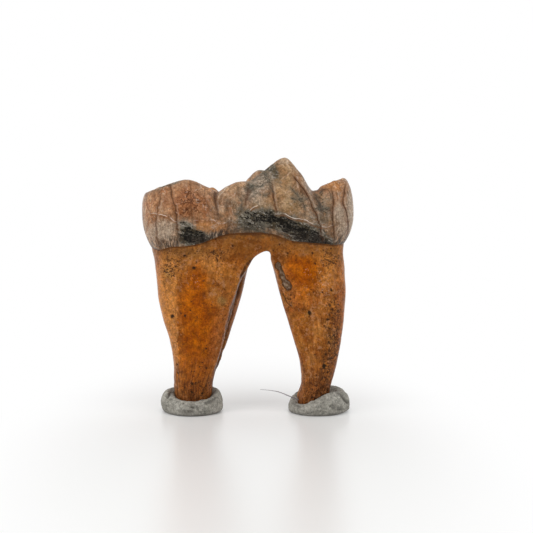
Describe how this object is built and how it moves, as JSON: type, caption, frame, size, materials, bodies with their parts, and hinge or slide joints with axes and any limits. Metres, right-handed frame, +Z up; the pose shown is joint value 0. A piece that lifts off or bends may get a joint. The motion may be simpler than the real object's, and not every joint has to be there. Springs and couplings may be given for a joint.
{
  "type": "fossil cave bear molar",
  "caption": "Fossil cave bear molar with a cusped enamel crown on two long tapering roots, standing in rings of grey putty.",
  "frame": {"origin": "on the floor below the middle of the crown's outline, where the putty rings stand", "axes": "+Z up from the roots to the cusps, +X towards the mesial end of the crown, +Y towards the tongue side"},
  "size_m": [0.0296, 0.0142, 0.0361],
  "materials": {
    "fossil_tooth": "satin",
    "putty": "matte"
  },
  "bodies": {
    "root": {"molar": "fossil_tooth", "left_putty_ring": "putty", "right_putty_ring": "putty"}
  },
  "joints": []
}
